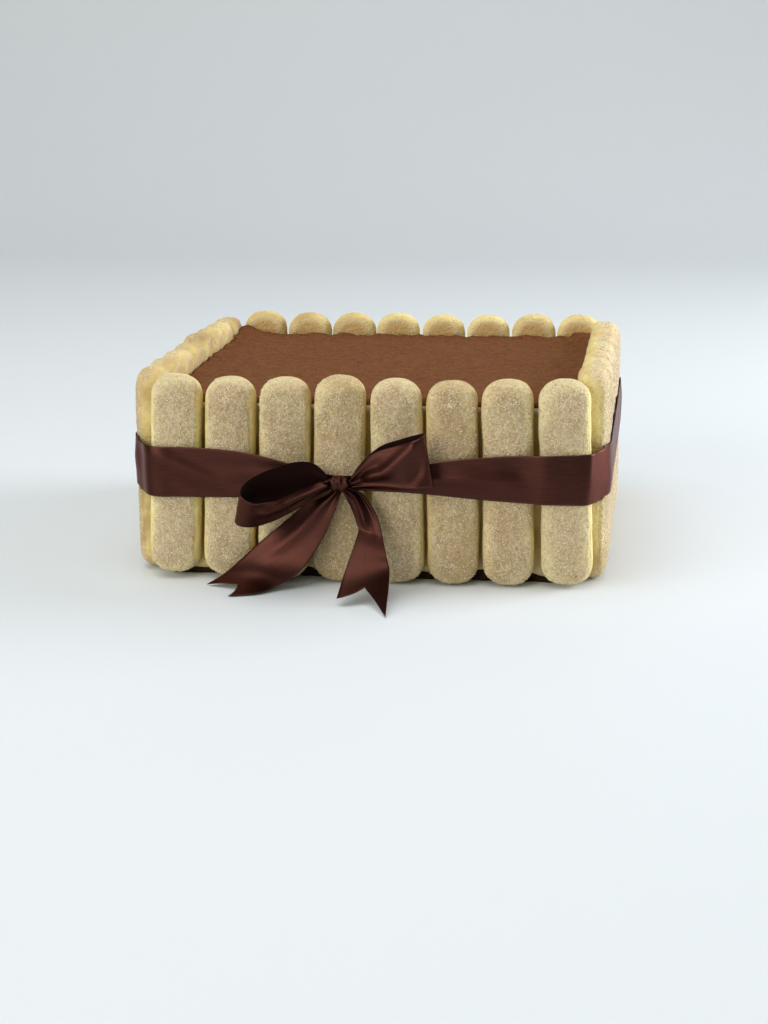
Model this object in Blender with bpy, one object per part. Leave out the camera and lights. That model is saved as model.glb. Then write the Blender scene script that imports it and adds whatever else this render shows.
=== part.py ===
"""Square cream cake walled with upright ladyfingers, dusted with cocoa and tied with a
satin ribbon bow. Metres, +Z up. The origin is the centre of the cake's foot, and the
bow is on the -Y side."""

import math
import random
from collections import namedtuple

import bmesh
import bpy
from mathutils import Vector
from mathutils.geometry import convex_hull_2d

MM = 0.001
CLEARANCE = 0.3 * MM

# The cake inside the biscuit wall
CORE_SIDE = 201.4 * MM
CORE_CORNER = 6 * MM
CORE_CORNER_STEPS = 4
BASE_HEIGHT = 6 * MM
CREAM_TOP = 86 * MM
COCOA_TOP = 88.5 * MM
COCOA_CELLS = 14
COCOA_CREEP = 4 * MM
COCOA_CREEP_REACH = 16 * MM

# One ladyfinger: a racetrack outline with a flat underside and a domed, sugared face
FINGER_LENGTH = 101 * MM
FINGER_DEPTH = 16.2 * MM
FINGER_END_RISE = 11.6 * MM
FINGER_END_SQUARENESS = 2.3
FINGER_END_STEPS = 7
FINGER_SIDE_STATIONS = (40 * MM, 72 * MM)
FINGER_SECTION = (  # how far the outline is drawn in, at each depth from the underside
    (1.2 * MM, 0.0),
    (0.0, 1.6 * MM),
    (0.3 * MM, 10.4 * MM),
    (2.1 * MM, 13.6 * MM),
    (5.6 * MM, 15.5 * MM),
)
FINGER_END_DROP = 0.5 * MM
FINGER_WAIST = 0.016
FOOT_LIFT = 0.1 * MM
LENGTH_SPREAD = 0.6 * MM
DEPTH_SPREAD = 0.5 * MM

# The four rows run counter-clockwise from the front left corner. A row's middle is its
# offset along its own direction; its gap is the pitch less one finger's width.
Row = namedtuple("Row", "name turn middle pitch gap")
FINGERS_PER_ROW = 8
ROWS = (
    Row("front", 0, 1.6 * MM, 26.8 * MM, 1.6 * MM),
    Row("right", 90, -0.3 * MM, 25.15 * MM, 0.6 * MM),
    Row("back", 180, -2.9 * MM, 25.8 * MM, 1.0 * MM),
    Row("left", 270, -4.0 * MM, 26.3 * MM, 1.2 * MM),
)
# The front fingers splay: how far each foot stands beyond its top, left to right
FRONT_FOOT_SHIFTS = tuple(v * MM for v in (-3.0, -2.7, -2.5, -2.3, 1.0, 1.0, 1.1, 2.8))
# and some hang a little above the cake's foot, held by the cream
FRONT_FOOT_LIFTS = tuple(v * MM for v in (2.6, 1.8, 0.6, 0.1, 0.2, 0.1, 0.3, 0.9))
ODD_LENGTHS = {("right", 1): 4 * MM, ("left", 1): -3 * MM, ("left", 2): -1.5 * MM}
# How much of its free room a finger uses to stand aslant, and to turn about its height
SWAY_SHARE = 0.4
YAW_SHARE = 0.5

# The ribbon
RIBBON_WIDTH = 25 * MM
RIBBON_THICKNESS = 0.6 * MM
BAND_HEIGHT = 56 * MM
BAND_FRONT_DROP = 1.4 * MM
BAND_KNOT_DROP = 3.2 * MM
BAND_KNOT_DROP_REACH = 35 * MM
BAND_KNOT_WIDTH = 7 * MM
BAND_TAPER_LEFT = 35 * MM
BAND_TAPER_RIGHT = 56 * MM
BAND_TAPER_POWER = 1.8
BAND_STEP = 7 * MM
BAND_LOWEST = 38 * MM
BAND_HIGHEST = 74 * MM

# The bow: a knot, and four strips of ribbon. Each strip is given in millimetres by points
# along its two edges, which it runs through smoothly.
KNOT = Vector((-10.5, -122.7, 51.8)) * MM
KNOT_SIZE = Vector((9.4, 7.8, 8.0)) * MM
KNOT_CUTS = 4
KNOT_ROUNDNESS = 0.75
STRIP_STEPS_PER_SPAN = 3
Strip = namedtuple("Strip", "name upper lower notch")
LEFT_LOOP = Strip(
    "bow_loop_left",
    (
        (-16, -122.4, 54.4), (-22.4, -124.5, 61.2), (-29.7, -130, 63.3), (-39.8, -138, 62),
        (-49.9, -146, 58.1), (-53.4, -151.5, 53.9), (-51.1, -155, 50.4), (-44.6, -154, 47.8),
        (-36.8, -147.5, 47), (-28.5, -137.5, 48.6), (-21.3, -129.5, 50.2), (-16, -126, 52.6),
    ),
    (
        (-16, -120.6, 50.6), (-23.6, -120, 53), (-32.9, -120, 50.5), (-46.5, -121, 44.3),
        (-56, -125, 38.5), (-59.9, -131.5, 35.9), (-57.8, -136, 33.1), (-49.6, -138.5, 33.3),
        (-39.3, -136.5, 36.6), (-29.5, -131.5, 41.4), (-21.7, -126.5, 45.3), (-16, -123.8, 48.8),
    ),
    None,
)
RIGHT_LOOP = Strip(
    "bow_loop_right",
    (
        (-5, -121.8, 55), (-0.5, -122.8, 61.7), (9, -125, 70.6), (19.9, -128.5, 75.3),
        (30.8, -132.5, 78.8), (28.5, -136.5, 76.6), (17.9, -135, 72.7), (4.8, -130, 67),
        (-5, -125, 55),
    ),
    (
        (-5, -120.6, 50.8), (-0.3, -120.2, 52.1), (9.9, -120.6, 51.6), (22.4, -123.5, 51.7),
        (34.2, -128.6, 52.9), (33.8, -132, 53), (23, -133, 52.6), (8.6, -129, 52.6),
        (-5, -124.4, 50.6),
    ),
    None,
)
LEFT_TAIL = Strip(
    "bow_tail_left",
    (
        (-15.4, -121.2, 46.4), (-26, -120.6, 42), (-36.5, -119.9, 33.1), (-51.1, -119.6, 20.5),
        (-60.3, -120.1, 12), (-67.5, -121.6, 5.6), (-75.7, -126.1, 0.8),
    ),
    (
        (-10.5, -121.6, 46.2), (-13.6, -122.6, 36.1), (-20.1, -124.6, 22.2), (-29.3, -128, 9.3),
        (-40.3, -131.5, 1.6), (-48.4, -140.9, 1.0), (-61.5, -145.6, 0.8),
    ),
    (-60.3, -133.1, 0.8),
)
RIGHT_TAIL = Strip(
    "bow_tail_right",
    (
        (-8.6, -121.4, 46.4), (-5, -122, 38.9), (-1.6, -124.5, 30.3), (-3.2, -130, 22.7),
        (-6.1, -143, 11.5), (-7.5, -156, 4.0),
    ),
    (
        (1.2, -121.8, 46.8), (7.6, -124.5, 37.1), (11.8, -130, 23.9), (15.2, -139, 14.1),
        (17.4, -152, 6.9), (17.9, -174.5, 0.9),
    ),
    (7.4, -150, 6.1),
)

# Cream, sponge, cocoa and satin as they look from a step away
BISCUIT = ((0.72, 0.58, 0.36), 0.9)
CREAM = ((0.83, 0.76, 0.58), 0.6)
COCOA = ((0.20, 0.085, 0.04), 0.95)
SOAKED_SPONGE = ((0.045, 0.02, 0.012), 0.7)
SATIN = ((0.075, 0.018, 0.016), 0.35)


def clear_scene():
    for old in list(bpy.data.objects):
        bpy.data.objects.remove(old, do_unlink=True)


def finish(name, look):
    """A plain material of one colour and roughness."""
    colour, roughness = look
    made = bpy.data.materials.new(name)
    made.use_nodes = True
    shader = made.node_tree.nodes["Principled BSDF"]
    shader.inputs["Base Color"].default_value = (*colour, 1)
    shader.inputs["Roughness"].default_value = roughness
    shader.inputs["Metallic"].default_value = 0
    made.diffuse_color = (*colour, 1)
    return made


def object_of(name, bm, material, sharp_angle=math.radians(40)):
    """Turns a bmesh into an object of the scene, shaded smooth but for its sharp edges."""
    mesh = bpy.data.meshes.new(name)
    bmesh.ops.recalc_face_normals(bm, faces=bm.faces)
    bm.to_mesh(mesh)
    bm.free()
    mesh.materials.append(material)
    mesh.shade_smooth()
    mesh.set_sharp_from_angle(angle=sharp_angle)
    made = bpy.data.objects.new(name, mesh)
    bpy.context.scene.collection.objects.link(made)
    return made


def finger_outline(width, length, inset):
    """The finger's racetrack outline, as (x, height above its foot), drawn in by inset."""
    half = width / 2 - inset
    rise = FINGER_END_RISE - inset
    low = FINGER_END_RISE
    high = length - FINGER_END_RISE
    power = 2 / FINGER_END_SQUARENESS
    points = []
    ends = ((1, high, reversed(FINGER_SIDE_STATIONS)), (-1, low, FINGER_SIDE_STATIONS))
    for side, level, stations in ends:
        for step in range(FINGER_END_STEPS + 1):
            angle = math.pi * step / FINGER_END_STEPS
            across = math.copysign(abs(math.cos(angle)) ** power, math.cos(angle))
            up = abs(math.sin(angle)) ** power
            points.append((side * half * across, level + side * rise * up))
        points.extend((-side * half, station) for station in stations)
    return points


def finger_mesh(width, length, depth, phase):
    """A ladyfinger standing on its foot at the origin: its underside lies in y = 0 and its
    sugared face looks along -Y."""
    bm = bmesh.new()
    scale = depth / FINGER_DEPTH

    def waist(height):
        return 1 - FINGER_WAIST * (0.5 + 0.5 * math.sin(2 * math.pi * height / length + phase))

    rings = []
    for inset, level in FINGER_SECTION:
        outline = finger_outline(width, length, inset)
        rings.append([bm.verts.new((x * waist(z), -level * scale, z)) for x, z in outline])
    for inner, outer in zip(rings, rings[1:]):
        for at in range(len(inner)):
            after = (at + 1) % len(inner)
            bm.faces.new((inner[at], inner[after], outer[after], outer[at]))
    bm.faces.new(rings[0])

    spine = {}
    last = rings[-1]
    low = FINGER_END_RISE
    high = length - FINGER_END_RISE
    for vert in last:
        height = round(min(max(vert.co.z, low), high), 6)
        if height not in spine:
            drop = FINGER_END_DROP if height in (round(low, 6), round(high, 6)) else 0
            spine[height] = bm.verts.new((0, -depth + drop, height))
    for at in range(len(last)):
        pair = (last[at], last[(at + 1) % len(last)])
        crest = [spine[round(min(max(vert.co.z, low), high), 6)] for vert in pair]
        corners = [pair[0], pair[1], crest[1]]
        if crest[0] is not crest[1]:
            corners.append(crest[0])
        bm.faces.new(corners)
    return bm


def biscuit_wall(material):
    """Four rows of upright fingers, each row on an empty turned to its side of the cake."""
    chance = random.Random(11)
    fingers = []
    for row in ROWS:
        side = bpy.data.objects.new(f"row_{row.name}", None)
        side.rotation_euler = (0, 0, math.radians(row.turn))
        bpy.context.scene.collection.objects.link(side)
        sway = (row.gap - CLEARANCE) / 2
        for place in range(FINGERS_PER_ROW):
            key = (row.name, place + 1)
            lift = FOOT_LIFT
            foot_shift = chance.uniform(-SWAY_SHARE, SWAY_SHARE) * sway
            if row.name == "front":
                lift = FRONT_FOOT_LIFTS[place]
                foot_shift = FRONT_FOOT_SHIFTS[place]
            length = FINGER_LENGTH + chance.uniform(-1, 1) * LENGTH_SPREAD
            length += ODD_LENGTHS.get(key, 0) - lift
            depth = FINGER_DEPTH - chance.uniform(0, 1) * DEPTH_SPREAD
            shape = finger_mesh(row.pitch - row.gap, length, depth, chance.uniform(0, 2 * math.pi))
            finger = object_of(f"ladyfinger_{row.name}_{place + 1}", shape, material)
            along = row.middle + row.pitch * (place - (FINGERS_PER_ROW - 1) / 2) + foot_shift
            lean = -math.asin(foot_shift / length)
            yaw = chance.uniform(-YAW_SHARE, YAW_SHARE) * sway / FINGER_DEPTH
            finger.parent = side
            finger.location = (along, -CORE_SIDE / 2 - CLEARANCE, lift)
            finger.rotation_euler = (0, lean, yaw)
            fingers.append(finger)
    bpy.context.view_layer.update()
    return fingers


def slab(name, low, high, material):
    """One square layer of the cake with rounded upright corners."""
    bm = bmesh.new()
    bmesh.ops.create_cube(bm, size=1)
    bmesh.ops.scale(bm, vec=(CORE_SIDE, CORE_SIDE, high - low), verts=bm.verts)
    bmesh.ops.translate(bm, vec=(0, 0, (low + high) / 2), verts=bm.verts)
    middle = (low + high) / 2
    upright = [
        edge for edge in bm.edges if (edge.verts[0].co.z - middle) * (edge.verts[1].co.z - middle) < 0
    ]
    bmesh.ops.bevel(
        bm, geom=upright, offset=CORE_CORNER, segments=CORE_CORNER_STEPS, profile=0.5, affect="EDGES"
    )
    return object_of(name, bm, material)


def cocoa_height(x, y):
    """The dusted top is level, and creeps up the biscuits in the two back corners."""
    height = COCOA_TOP
    for corner_x in (-CORE_SIDE / 2, CORE_SIDE / 2):
        away = math.hypot(x - corner_x, y - CORE_SIDE / 2)
        height += COCOA_CREEP * math.exp(-((away / COCOA_CREEP_REACH) ** 2))
    return height


def cocoa_layer(material):
    """The thin layer of cocoa on the cream: a grid lifted to its height, with a flat underside."""
    bm = bmesh.new()
    bmesh.ops.create_grid(bm, x_segments=COCOA_CELLS, y_segments=COCOA_CELLS, size=CORE_SIDE / 2)
    top = list(bm.faces)
    extruded = bmesh.ops.extrude_face_region(bm, geom=top)["geom"]
    raised = [part for part in extruded if isinstance(part, bmesh.types.BMVert)]
    for vert in bm.verts:
        vert.co.z = CREAM_TOP + CLEARANCE
    for vert in raised:
        vert.co.z = cocoa_height(vert.co.x, vert.co.y)
    return object_of("cocoa_top", bm, material)


def ribbon_object(name, sections, material, closed=False, notch=None):
    """A strip of satin through sections, each a pair of edge points. A notch cuts a
    swallow tail into its end."""
    bm = bmesh.new()
    rows = [[bm.verts.new(first), bm.verts.new(first.lerp(second, 0.5)), bm.verts.new(second)]
            for first, second in sections]
    if notch is not None:
        rows[-1][1].co = notch
    pairs = list(zip(rows, rows[1:]))
    if closed:
        pairs.append((rows[-1], rows[0]))
    for here, there in pairs:
        for lane in (0, 1):
            bm.faces.new((here[lane], there[lane], there[lane + 1], here[lane + 1]))
    made = object_of(name, bm, material)
    thicken = made.modifiers.new("thickness", "SOLIDIFY")
    thicken.thickness = RIBBON_THICKNESS
    thicken.offset = 0
    thicken.use_even_offset = True
    return made


def band_hull(fingers):
    """The tight outline round the biscuits at the ribbon's height, as plan points."""
    plan = []
    for finger in fingers:
        for vert in finger.data.vertices:
            point = finger.matrix_world @ vert.co
            if BAND_LOWEST < point.z < BAND_HIGHEST:
                plan.append(Vector((point.x, point.y)))
    order = convex_hull_2d(plan)
    hull = [plan[index] for index in order]
    area = sum(a.x * b.y - b.x * a.y for a, b in zip(hull, hull[1:] + hull[:1]))
    if area < 0:
        hull.reverse()
    return hull


def offset_outline(hull, distance):
    """The counter-clockwise outline moved outwards, with mitred corners."""
    moved = []
    for at, point in enumerate(hull):
        before = (point - hull[at - 1]).normalized()
        after = (hull[(at + 1) % len(hull)] - point).normalized()
        normal = Vector((before.y + after.y, -before.x - after.x)).normalized()
        mitre = normal.dot(Vector((after.y, -after.x)))
        moved.append(point + normal * distance / mitre)
    return moved


def band_section(point):
    """The band's two edges at a plan point: full width round the cake, drawn in at the knot."""
    width = RIBBON_WIDTH
    height = BAND_HEIGHT
    if point.y < -CORE_SIDE / 2:
        aside = point.x - KNOT.x
        reach = BAND_TAPER_LEFT if aside < 0 else BAND_TAPER_RIGHT
        width -= (RIBBON_WIDTH - BAND_KNOT_WIDTH) * math.exp(-(abs(aside) / reach) ** BAND_TAPER_POWER)
        height -= BAND_FRONT_DROP
        height -= BAND_KNOT_DROP * math.exp(-(aside / BAND_KNOT_DROP_REACH) ** 2)
    low = Vector((point.x, point.y, height - width / 2))
    high = Vector((point.x, point.y, height + width / 2))
    return low, high


def ribbon_band(fingers, material):
    outline = offset_outline(band_hull(fingers), CLEARANCE + RIBBON_THICKNESS / 2)
    route = []
    for at, point in enumerate(outline):
        following = outline[(at + 1) % len(outline)]
        on_front = point.y < -CORE_SIDE / 2 and following.y < -CORE_SIDE / 2
        steps = max(1, round((following - point).length / BAND_STEP)) if on_front else 1
        route.extend(point.lerp(following, step / steps) for step in range(steps))
    return ribbon_object("ribbon_band", [band_section(point) for point in route], material, closed=True)


def bow_knot(material):
    bm = bmesh.new()
    bmesh.ops.create_cube(bm, size=1)
    bmesh.ops.subdivide_edges(bm, edges=bm.edges, cuts=KNOT_CUTS, use_grid_fill=True)
    for vert in bm.verts:
        rounder = vert.co.normalized() * 0.5
        vert.co = vert.co.lerp(rounder, KNOT_ROUNDNESS)
        vert.co = Vector(a * b for a, b in zip(vert.co, KNOT_SIZE))
    made = object_of("bow_knot", bm, material)
    made.location = KNOT
    return made


def smooth_edge(points_mm):
    """Catmull-Rom points through an edge's control points."""
    points = [Vector(point) * MM for point in points_mm]
    padded = [points[0] * 2 - points[1], *points, points[-1] * 2 - points[-2]]
    smooth = []
    for before, start, end, after in zip(padded, padded[1:], padded[2:], padded[3:]):
        for step in range(STRIP_STEPS_PER_SPAN):
            t = step / STRIP_STEPS_PER_SPAN
            linear = end - before
            square = 2 * before - 5 * start + 4 * end - after
            cube = 3 * start - before - 3 * end + after
            smooth.append(0.5 * (2 * start + linear * t + square * t ** 2 + cube * t ** 3))
    smooth.append(points[-1])
    return smooth


def bow_strip(strip, material):
    sections = list(zip(smooth_edge(strip.upper), smooth_edge(strip.lower)))
    notch = Vector(strip.notch) * MM if strip.notch else None
    return ribbon_object(strip.name, sections, material, notch=notch)


def main():
    clear_scene()
    biscuit = finish("ladyfinger_sponge", BISCUIT)
    satin = finish("satin", SATIN)
    slab("cake_base", 0, BASE_HEIGHT, finish("soaked_sponge", SOAKED_SPONGE))
    slab("cake_cream", BASE_HEIGHT + CLEARANCE, CREAM_TOP, finish("cream", CREAM))
    cocoa_layer(finish("cocoa", COCOA))
    fingers = biscuit_wall(biscuit)
    ribbon_band(fingers, satin)
    bow_knot(satin)
    for strip in (LEFT_LOOP, RIGHT_LOOP, LEFT_TAIL, RIGHT_TAIL):
        bow_strip(strip, satin)


main()
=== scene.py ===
"""Looks for a square cream cake in a wall of sugared ladyfingers, with a cocoa top and a
satin bow. Metres, +Z up, the bow on the -Y side; the CAD model is the fixed frame."""

import math
import random
from collections import namedtuple

import bpy
import numpy as np
from mathutils import Euler, Matrix, Vector
from mathutils.geometry import convex_hull_2d


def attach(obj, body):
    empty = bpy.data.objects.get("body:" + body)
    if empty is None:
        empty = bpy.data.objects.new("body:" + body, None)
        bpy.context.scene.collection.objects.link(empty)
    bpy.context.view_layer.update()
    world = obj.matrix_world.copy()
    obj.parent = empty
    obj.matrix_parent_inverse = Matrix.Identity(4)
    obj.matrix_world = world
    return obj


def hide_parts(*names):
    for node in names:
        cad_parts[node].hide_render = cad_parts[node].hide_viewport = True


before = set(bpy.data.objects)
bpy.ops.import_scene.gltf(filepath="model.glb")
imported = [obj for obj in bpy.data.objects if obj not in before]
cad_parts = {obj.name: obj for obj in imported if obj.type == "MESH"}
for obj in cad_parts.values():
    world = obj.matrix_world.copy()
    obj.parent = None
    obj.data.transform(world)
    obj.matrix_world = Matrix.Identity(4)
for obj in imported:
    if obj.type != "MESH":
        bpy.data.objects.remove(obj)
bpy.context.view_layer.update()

MM = 0.001
CLEARANCE = 0.3 * MM

# Camera, solved from points of the cake
CAMERA_PLACE = Vector((0.1452, -1.1514, 0.2836))
CAMERA_FORWARD = Vector((-0.1261, 0.9650, -0.2301))
CAMERA_ROLL = 0.0053
CAMERA_LENS = 78.2

# The cake inside the biscuit wall, as in the CAD model
CORE_SIDE = 201.4 * MM
CORE_CORNER = 6 * MM
CREAM_TOP = 86 * MM
COCOA_TOP = 88.5 * MM

# How high the cocoa climbs in the left back corner, and in a step in the right one
COCOA_CREEP = 4.4 * MM
COCOA_CREEP_REACH = 11 * MM
COCOA_SHELF = 2.8 * MM
COCOA_SHELF_EDGE = (9 * MM, 14 * MM)
COCOA_CELLS = 184

# The uneven upper edge of the dark soaked layer, whose near-black colour is partly painted shade
SOAK_HEIGHT = 4.4 * MM
SOAK_LOWEST = 1.6 * MM
SOAK_HIGHEST = 7 * MM
WALL_STEP = 1.8 * MM

# Ladyfingers, as in the CAD model
FINGER_LENGTH = 101 * MM
FINGER_DEPTH = 16.2 * MM
FINGER_END_RISE = 11.6 * MM
FINGER_END_SQUARENESS = 2.3
FINGER_END_DROP = 0.5 * MM
FINGER_WAIST = 0.016
FOOT_LIFT = 0.1 * MM
LENGTH_SPREAD = 0.6 * MM
DEPTH_SPREAD = 0.5 * MM
Row = namedtuple("Row", "name turn middle pitch gap")
FINGERS_PER_ROW = 8
ROWS = (
    Row("front", 0, 1.6 * MM, 26.8 * MM, 1.6 * MM),
    Row("right", 90, -0.3 * MM, 25.15 * MM, 0.6 * MM),
    Row("back", 180, -2.9 * MM, 25.8 * MM, 1.0 * MM),
    Row("left", 270, -4.0 * MM, 26.3 * MM, 1.2 * MM),
)
FRONT_FOOT_SHIFTS = tuple(v * MM for v in (-3.0, -2.7, -2.5, -2.3, 1.0, 1.0, 1.1, 2.8))
FRONT_FOOT_LIFTS = tuple(v * MM for v in (2.6, 1.8, 0.6, 0.1, 0.2, 0.1, 0.3, 0.9))
ODD_LENGTHS = {("right", 1): 4 * MM, ("left", 1): -3 * MM, ("left", 2): -1.5 * MM}
SWAY_SHARE = 0.4
YAW_SHARE = 0.5

# A ladyfinger's section from the middle of its underside to the middle of its face, for one
# 25.2 mm wide: how far in from the outline, and how far from the underside, in mm
SECTION = (
    (12.2, 0.0), (7.5, 0.0), (4.4, 0.15), (2.3, 0.8), (0.8, 2.1), (0.05, 4.4), (0.0, 7.2),
    (0.3, 9.8), (1.0, 12.0), (2.3, 13.7), (4.6, 15.0), (7.2, 15.75), (9.8, 16.1), (12.2, 16.2),
)
SECTION_WIDTH = 25.2

# Which shares of the section are underside and wall, and how finely the biscuit is divided
UNDER_SHARE = 0.3
WALL_SHARE = 0.56
OUTLINE_POINTS = 232
UNDER_RINGS, WALL_RINGS, FACE_RINGS = 7, 9, 25

# Where the crust begins on the sides and on the two ends, from the underside, in mm, and the
# biscuits whose sugar stops short of their sides
CRUST_SIDE_DEPTH = 12.0
CRUST_END_DEPTH = 6.0
CRUST_SPREAD = 1.5
PLAIN_WALLED = {"front_1": 13.5, "front_2": 13.1, "right_1": 12.2, "left_8": 12.0}

# How dark the biscuits are baked, from 0, pale, to 2, tan: one by one in the front row, and
# from the least to the most in the others
FRONT_BAKE = (0.15, 0.4, 0.8, 0.95, 0.55, 1.15, 0.85, 0.15)
ROW_BAKE = {"right": (0.3, 0.7), "back": (0.1, 0.8), "left": (0.6, 1.3)}
BAKE_PATCHES_FRONT = 0.45
BAKE_PATCHES_ELSEWHERE = 0.7

# Sugar grains on each biscuit, and their half-width
GRAINS_FRONT = 900
GRAINS_ELSEWHERE = 520
GRAIN_SIZE = (0.15 * MM, 0.34 * MM)

# The ribbon, as in the CAD model
RIBBON_WIDTH = 25 * MM
RIBBON_THICKNESS = 0.35 * MM
BAND_HEIGHT = 56 * MM
BAND_FRONT_DROP = 1.4 * MM
BAND_KNOT_DROP = 3.2 * MM
BAND_KNOT_DROP_REACH = 35 * MM
BAND_KNOT_WIDTH = 7 * MM
BAND_TAPER_LEFT = 35 * MM
BAND_TAPER_RIGHT = 56 * MM
BAND_TAPER_POWER = 1.8
BAND_LOWEST = 38 * MM
BAND_HIGHEST = 74 * MM
KNOT = Vector((-10.5, -122.7, 51.8)) * MM
KNOT_SIZE = Vector((9.4, 7.8, 8.0)) * MM

# How the band is divided, softened and lifted off the biscuits
BAND_STEP = 1.3 * MM
BAND_LANES = 25
BAND_SOFTENING = 30
BAND_SMOOTHING = 4
BAND_STAND_OFF = 0.6 * MM
BAND_PLEAT_LIFT = 1.5 * MM
BAND_CREASE_LIFT = 1.1 * MM
PLEAT_REACH_LEFT = 34 * MM
PLEAT_REACH_RIGHT = 40 * MM

# The band's soft folds on the front: how far they stand off, in mm, and where they are
LEFT_FOLD = 1.5
LEFT_FOLD_X = -86 * MM
RIGHT_FOLD = 1.4
RIGHT_FOLD_X = 52 * MM
CORNER_FOLD = 1.5
CORNER_FOLD_RIGHT_X = 88 * MM
CORNER_FOLD_LEFT_X = -102 * MM

# The crease that runs up the band on the cut-off corner at the front right, in mm
CORNER_CREASE = 0.9
CORNER_CREASE_FOOT = -7.5
CORNER_CREASE_SLANT = 4.5
CORNER_CREASE_WIDTH = 3.2
CORNER_START = 95 * MM

# The bow's strips: their two edges in mm from end to end, how deep the end is notched as a
# share of the length, and the side with the satin's face
STRIP_LANES = 21
STRIP_STEP = 1.1 * MM
Strip = namedtuple("Strip", "name upper lower notch face_side")
LEFT_LOOP = Strip(
    "bow_loop_left",
    (
        (-16, -122.4, 54.4), (-22.4, -124.5, 61.2), (-29.7, -130, 63.3), (-39.8, -138, 62),
        (-49.9, -146, 58.1), (-53.4, -151.5, 53.9), (-51.1, -155, 50.4), (-44.6, -154, 47.8),
        (-36.8, -147.5, 47.3), (-28.5, -136.5, 50.8), (-21.3, -129, 53), (-16, -125.8, 54),
    ),
    (
        (-16, -120.6, 48), (-23.6, -120, 45), (-32.9, -120, 41), (-46.5, -121, 38.2),
        (-56, -125, 36.6), (-59.9, -131.5, 35.2), (-57.8, -136, 33.1), (-49.6, -138.5, 33.3),
        (-39.3, -136.5, 36.6), (-29.5, -131.5, 41.4), (-21.7, -126.5, 45.3), (-16, -123.8, 48.8),
    ),
    0,
    1,
)
RIGHT_LOOP = Strip(
    "bow_loop_right",
    (
        (-5, -121.8, 55), (-0.5, -122.8, 61.7), (9, -125, 70.6), (19.9, -128.5, 75.3),
        (30.8, -131.5, 78.8), (28.5, -133.8, 76.6), (17.9, -131.5, 72.7), (4.8, -127.5, 67),
        (-5, -125, 55),
    ),
    (
        (-5, -120.6, 50.8), (-0.3, -120.2, 52.1), (9.9, -120.6, 51.6), (22.4, -123.5, 51.7),
        (34.2, -128.6, 52.9), (33.8, -132.5, 53), (23, -135.5, 52.6), (8.6, -130.5, 52.6),
        (-5, -124.4, 50.6),
    ),
    0,
    -1,
)
LEFT_TAIL = Strip(
    "bow_tail_left",
    (
        (-13.4, -122.4, 50), (-16.4, -121.4, 46.4), (-26, -120.6, 42), (-36.5, -119.9, 33.1),
        (-51.1, -119.6, 20.5), (-60.3, -120.1, 12), (-67.5, -121.6, 5.6), (-75.7, -126.1, 0.8),
    ),
    (
        (-9.2, -122.4, 50), (-10, -121.8, 46), (-13.6, -122.6, 36.1), (-20.1, -124.6, 22.2),
        (-29.3, -128, 9.3), (-40.3, -133, 2.6), (-48.4, -140.9, 1.2), (-61.5, -145.6, 0.6),
    ),
    0.13,
    -1,
)
RIGHT_TAIL = Strip(
    "bow_tail_right",
    (
        (-11.6, -122.4, 50), (-8.8, -121.8, 46.2), (-5, -122, 38.9), (-2.1, -123.8, 31.8),
        (-1.3, -125.2, 29.2), (-3.2, -131, 22), (-6.1, -143, 11.5), (-7.5, -156, 4),
    ),
    (
        (-6.6, -122.4, 50.4), (0.6, -122, 46.8), (7.6, -124.5, 37.1), (10.2, -127.3, 29.6),
        (11.3, -129, 25.9), (13.2, -133.5, 19.4), (15.8, -142, 12.2), (17.9, -174.5, 0.9),
    ),
    0.21,
    -1,
)

# Floor, backdrop and room light, and the soft boxes: name, place, target, size in metres,
# power in watts and colour
FLOOR_REACH = 12.0
BACKDROP_PLACE = 1.2
BACKDROP_BEND = 0.9
BACKDROP_HEIGHT = 4.0
ROOM_COLOUR = (0.93, 0.96, 1.0, 1)
ROOM_STRENGTH = 0.28
CAKE_MIDDLE = (0, 0, 0.05)
SOFT_BOXES = (
    ("window", (1.25, 0.42, 0.42), CAKE_MIDDLE, (0.85, 0.85), 22, (0.91, 0.915, 1.0)),
    ("ceiling", (-0.3, -0.3, 2.0), (0, 0, 0), (2.0, 1.6), 24, (1.0, 0.99, 0.97)),
    ("front_left", (-1.5, -1.5, 0.8), CAKE_MIDDLE, (1.7, 1.0), 20, (1.0, 0.98, 0.95)),
    ("front", (-0.43, -1.7, 0.45), CAKE_MIDDLE, (0.35, 0.5), 2.5, (1.0, 0.98, 0.95)),
)

# Turns the noise's grid out of line with the axes
TURN = np.array(Euler((0.6, 0.4, 0.9)).to_matrix())


def noise(points, size, seed):
    """Smooth noise from -1 to 1 at points in metres, with features about size across."""
    turned = points @ TURN.T / size + seed * 17.31
    cell = np.floor(turned).astype(np.int64)
    part = turned - cell
    part = part * part * part * (part * (part * 6 - 15) + 10)
    total = np.zeros(len(points))
    for corner in range(8):
        shift = np.array([(corner >> axis) & 1 for axis in range(3)])
        at = cell + shift
        mixed = (at[:, 0] * 73856093) ^ (at[:, 1] * 19349663) ^ (at[:, 2] * 83492791)
        mixed = ((mixed ^ (mixed >> 13)) * 1274126177) & 0xFFFFFFFF
        mixed = ((mixed ^ (mixed >> 15)) * 2246822519) & 0xFFFFFFFF
        mixed = (mixed ^ (mixed >> 16)) & 0xFFFF
        weight = np.prod(np.where(shift == 1, part, 1 - part), axis=1)
        total += weight * (mixed / 32767.5 - 1)
    return total


def ramp(value, low, high):
    """0 below low, 1 above high, smooth between."""
    share = np.clip((value - low) / (high - low), 0, 1)
    return share * share * (3 - 2 * share)


def window(value, low, high, soft):
    """1 between low and high, falling to 0 over soft beyond them."""
    return ramp(value, low - soft, low) * (1 - ramp(value, high, high + soft))


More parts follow.
